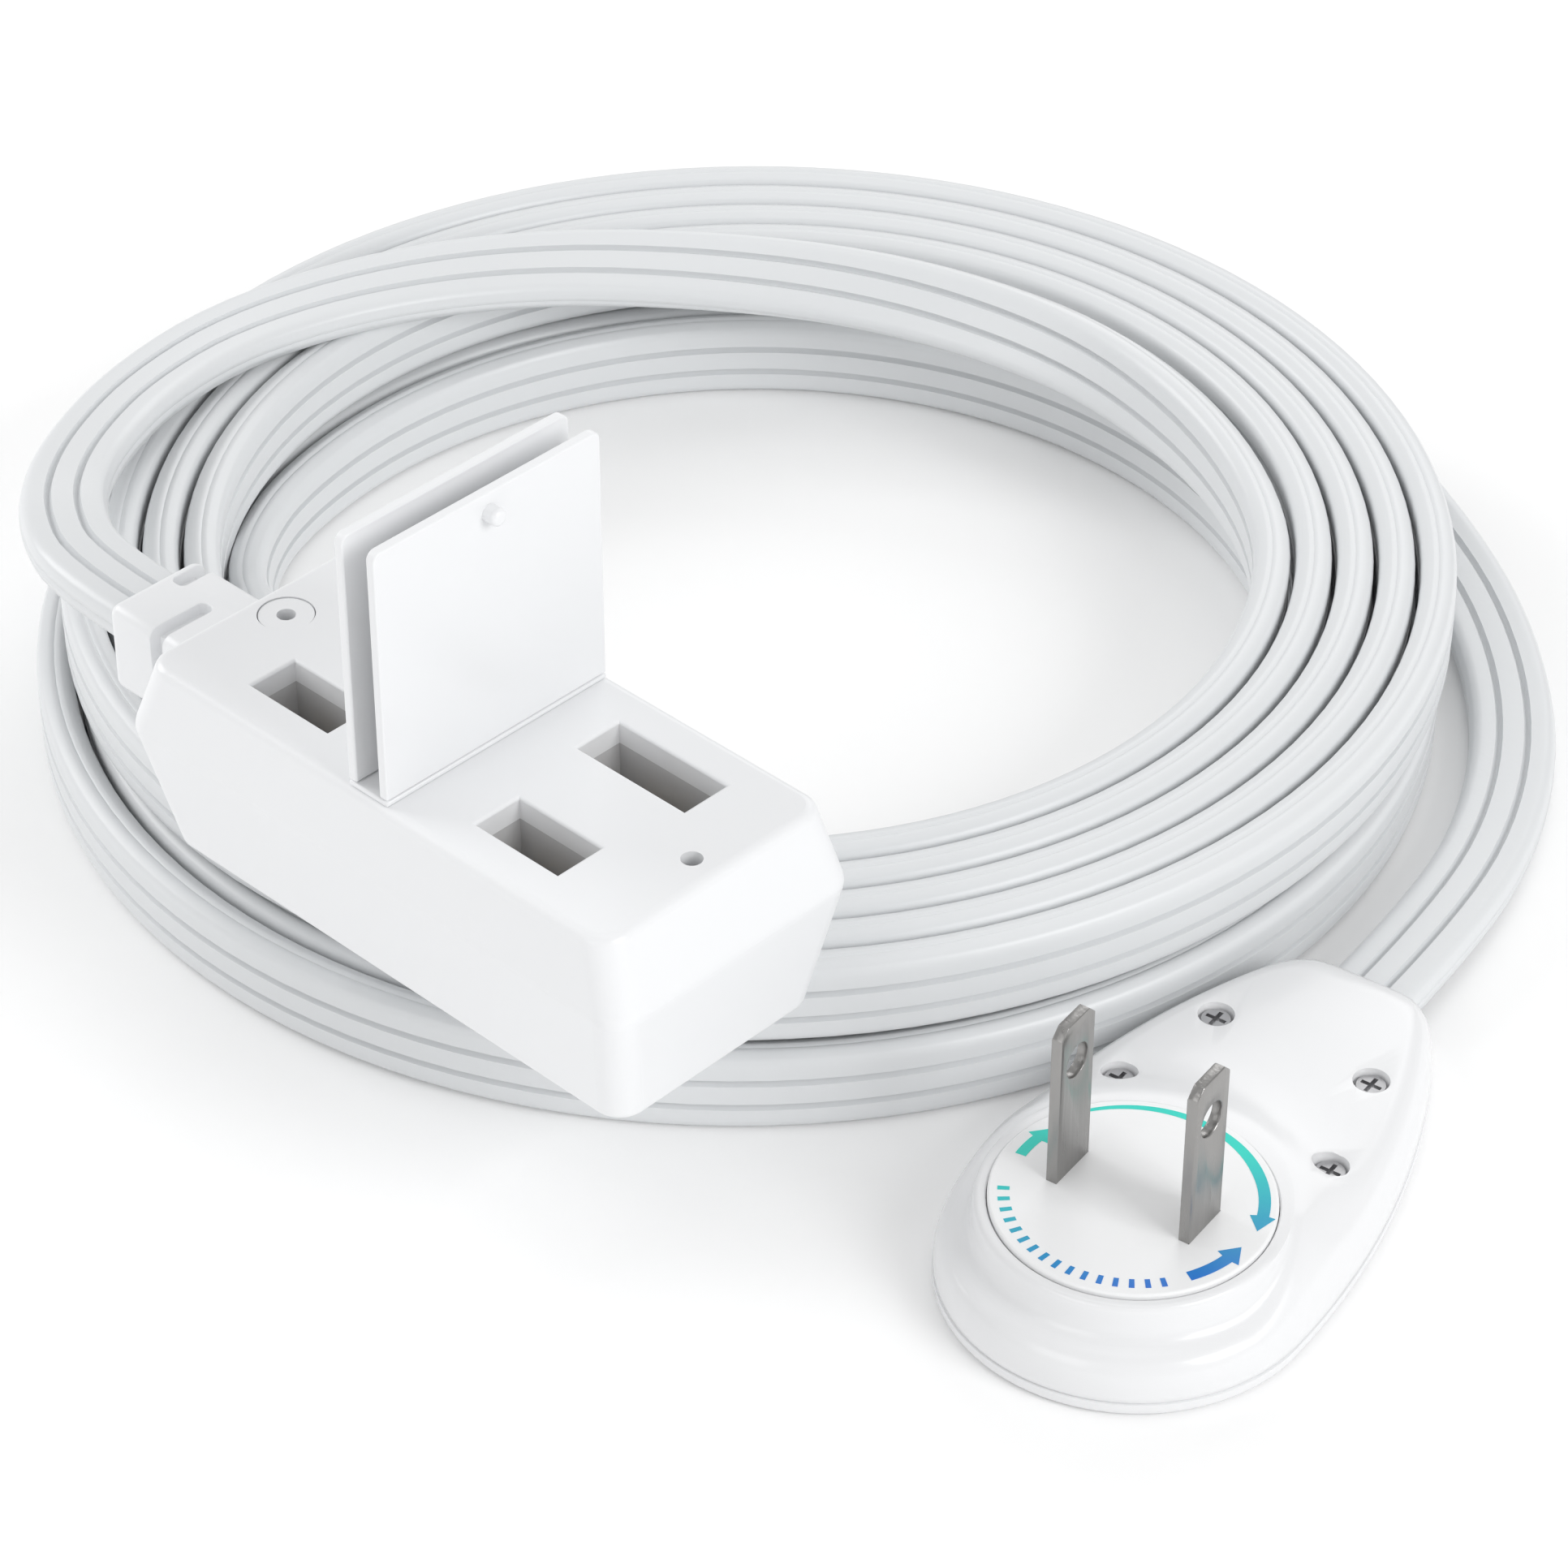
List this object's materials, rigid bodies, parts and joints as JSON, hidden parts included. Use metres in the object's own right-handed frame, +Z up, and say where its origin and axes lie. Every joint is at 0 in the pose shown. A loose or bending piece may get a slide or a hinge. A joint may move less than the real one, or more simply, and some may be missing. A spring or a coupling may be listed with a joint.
{
  "type": "extension cord",
  "caption": "White flat extension cord, coiled, with a small outlet block under hinged safety flaps and a low-profile plug with a rotating blade disc.",
  "frame": {"origin": "on the surface the coil lies on, directly under the middle of the outlet block, on the underside of the coiled cord", "axes": "+X along the outlet block from its cord end to its far end, +Y across the block, +Z up"},
  "size_m": [0.1674, 0.144, 0.0642],
  "materials": {
    "white_shell": "satin moulded",
    "white_flap": "satin moulded",
    "plug_shell": "polished moulded",
    "rotor_white": "fine satin",
    "dark_carrier": "matte",
    "relief_vinyl": "soft satin",
    "cord_vinyl": "soft satin vinyl",
    "core_insulation": "satin",
    "contact_brass": "plain",
    "blade_metal": "brushed nickel plate",
    "screw_steel": "dull zinc plate"
  },
  "bodies": {
    "cord_set": {"block_cover": "white_shell", "block_base": "white_shell", "contact_carrier": "dark_carrier", "hot_bus_bar": "contact_brass", "neutral_bus_bar": "contact_brass", "block_core_hot": "core_insulation", "block_core_neutral": "core_insulation", "rear_catch_disc": "white_shell", "strain_relief": "relief_vinyl", "hinge_strip": "white_flap", "coil": "cord_vinyl", "cord_lead_block": "cord_vinyl", "cord_lead_plug": "cord_vinyl", "cord_crossing": "cord_vinyl", "plug_front_shell": "plug_shell", "plug_back_shell": "plug_shell", "rotor_retainer": "plug_shell", "brush_inner": "contact_brass", "brush_outer": "contact_brass", "plug_core_hot": "core_insulation", "plug_core_neutral": "core_insulation", "cord_clamp": "dark_carrier", "base_screw_1": "screw_steel", "plug_screw_1": "screw_steel", "base_screw_2": "screw_steel", "plug_screw_2": "screw_steel", "base_screw_3": "screw_steel", "plug_screw_3": "screw_steel", "base_screw_4": "screw_steel", "plug_screw_4": "screw_steel"},
    "front_flap": {"front_flap": "white_flap"},
    "rear_flap": {"rear_flap": "white_flap"},
    "plug_rotor": {"plug_rotor": "rotor_white", "blade_hot": "blade_metal", "blade_neutral": "blade_metal", "slip_ring_inner": "contact_brass", "slip_ring_outer": "contact_brass"}
  },
  "joints": [
    {"name": "front_flap_hinge", "type": "hinge", "parent": "cord_set", "child": "front_flap", "pos_m": [0.00228, 0, 0.04015], "axis": [0, 1, 0], "range_deg": [0, 90]},
    {"name": "rear_flap_hinge", "type": "hinge", "parent": "cord_set", "child": "rear_flap", "pos_m": [-0.00228, 0, 0.04015], "axis": [0, -1, 0], "range_deg": [0, 90]},
    {"name": "plug_rotor_turn", "type": "hinge", "parent": "cord_set", "child": "plug_rotor", "pos_m": [0.0543, 0.0206, 0.0093], "axis": [0, 0, 1], "continuous": true}
  ]
}
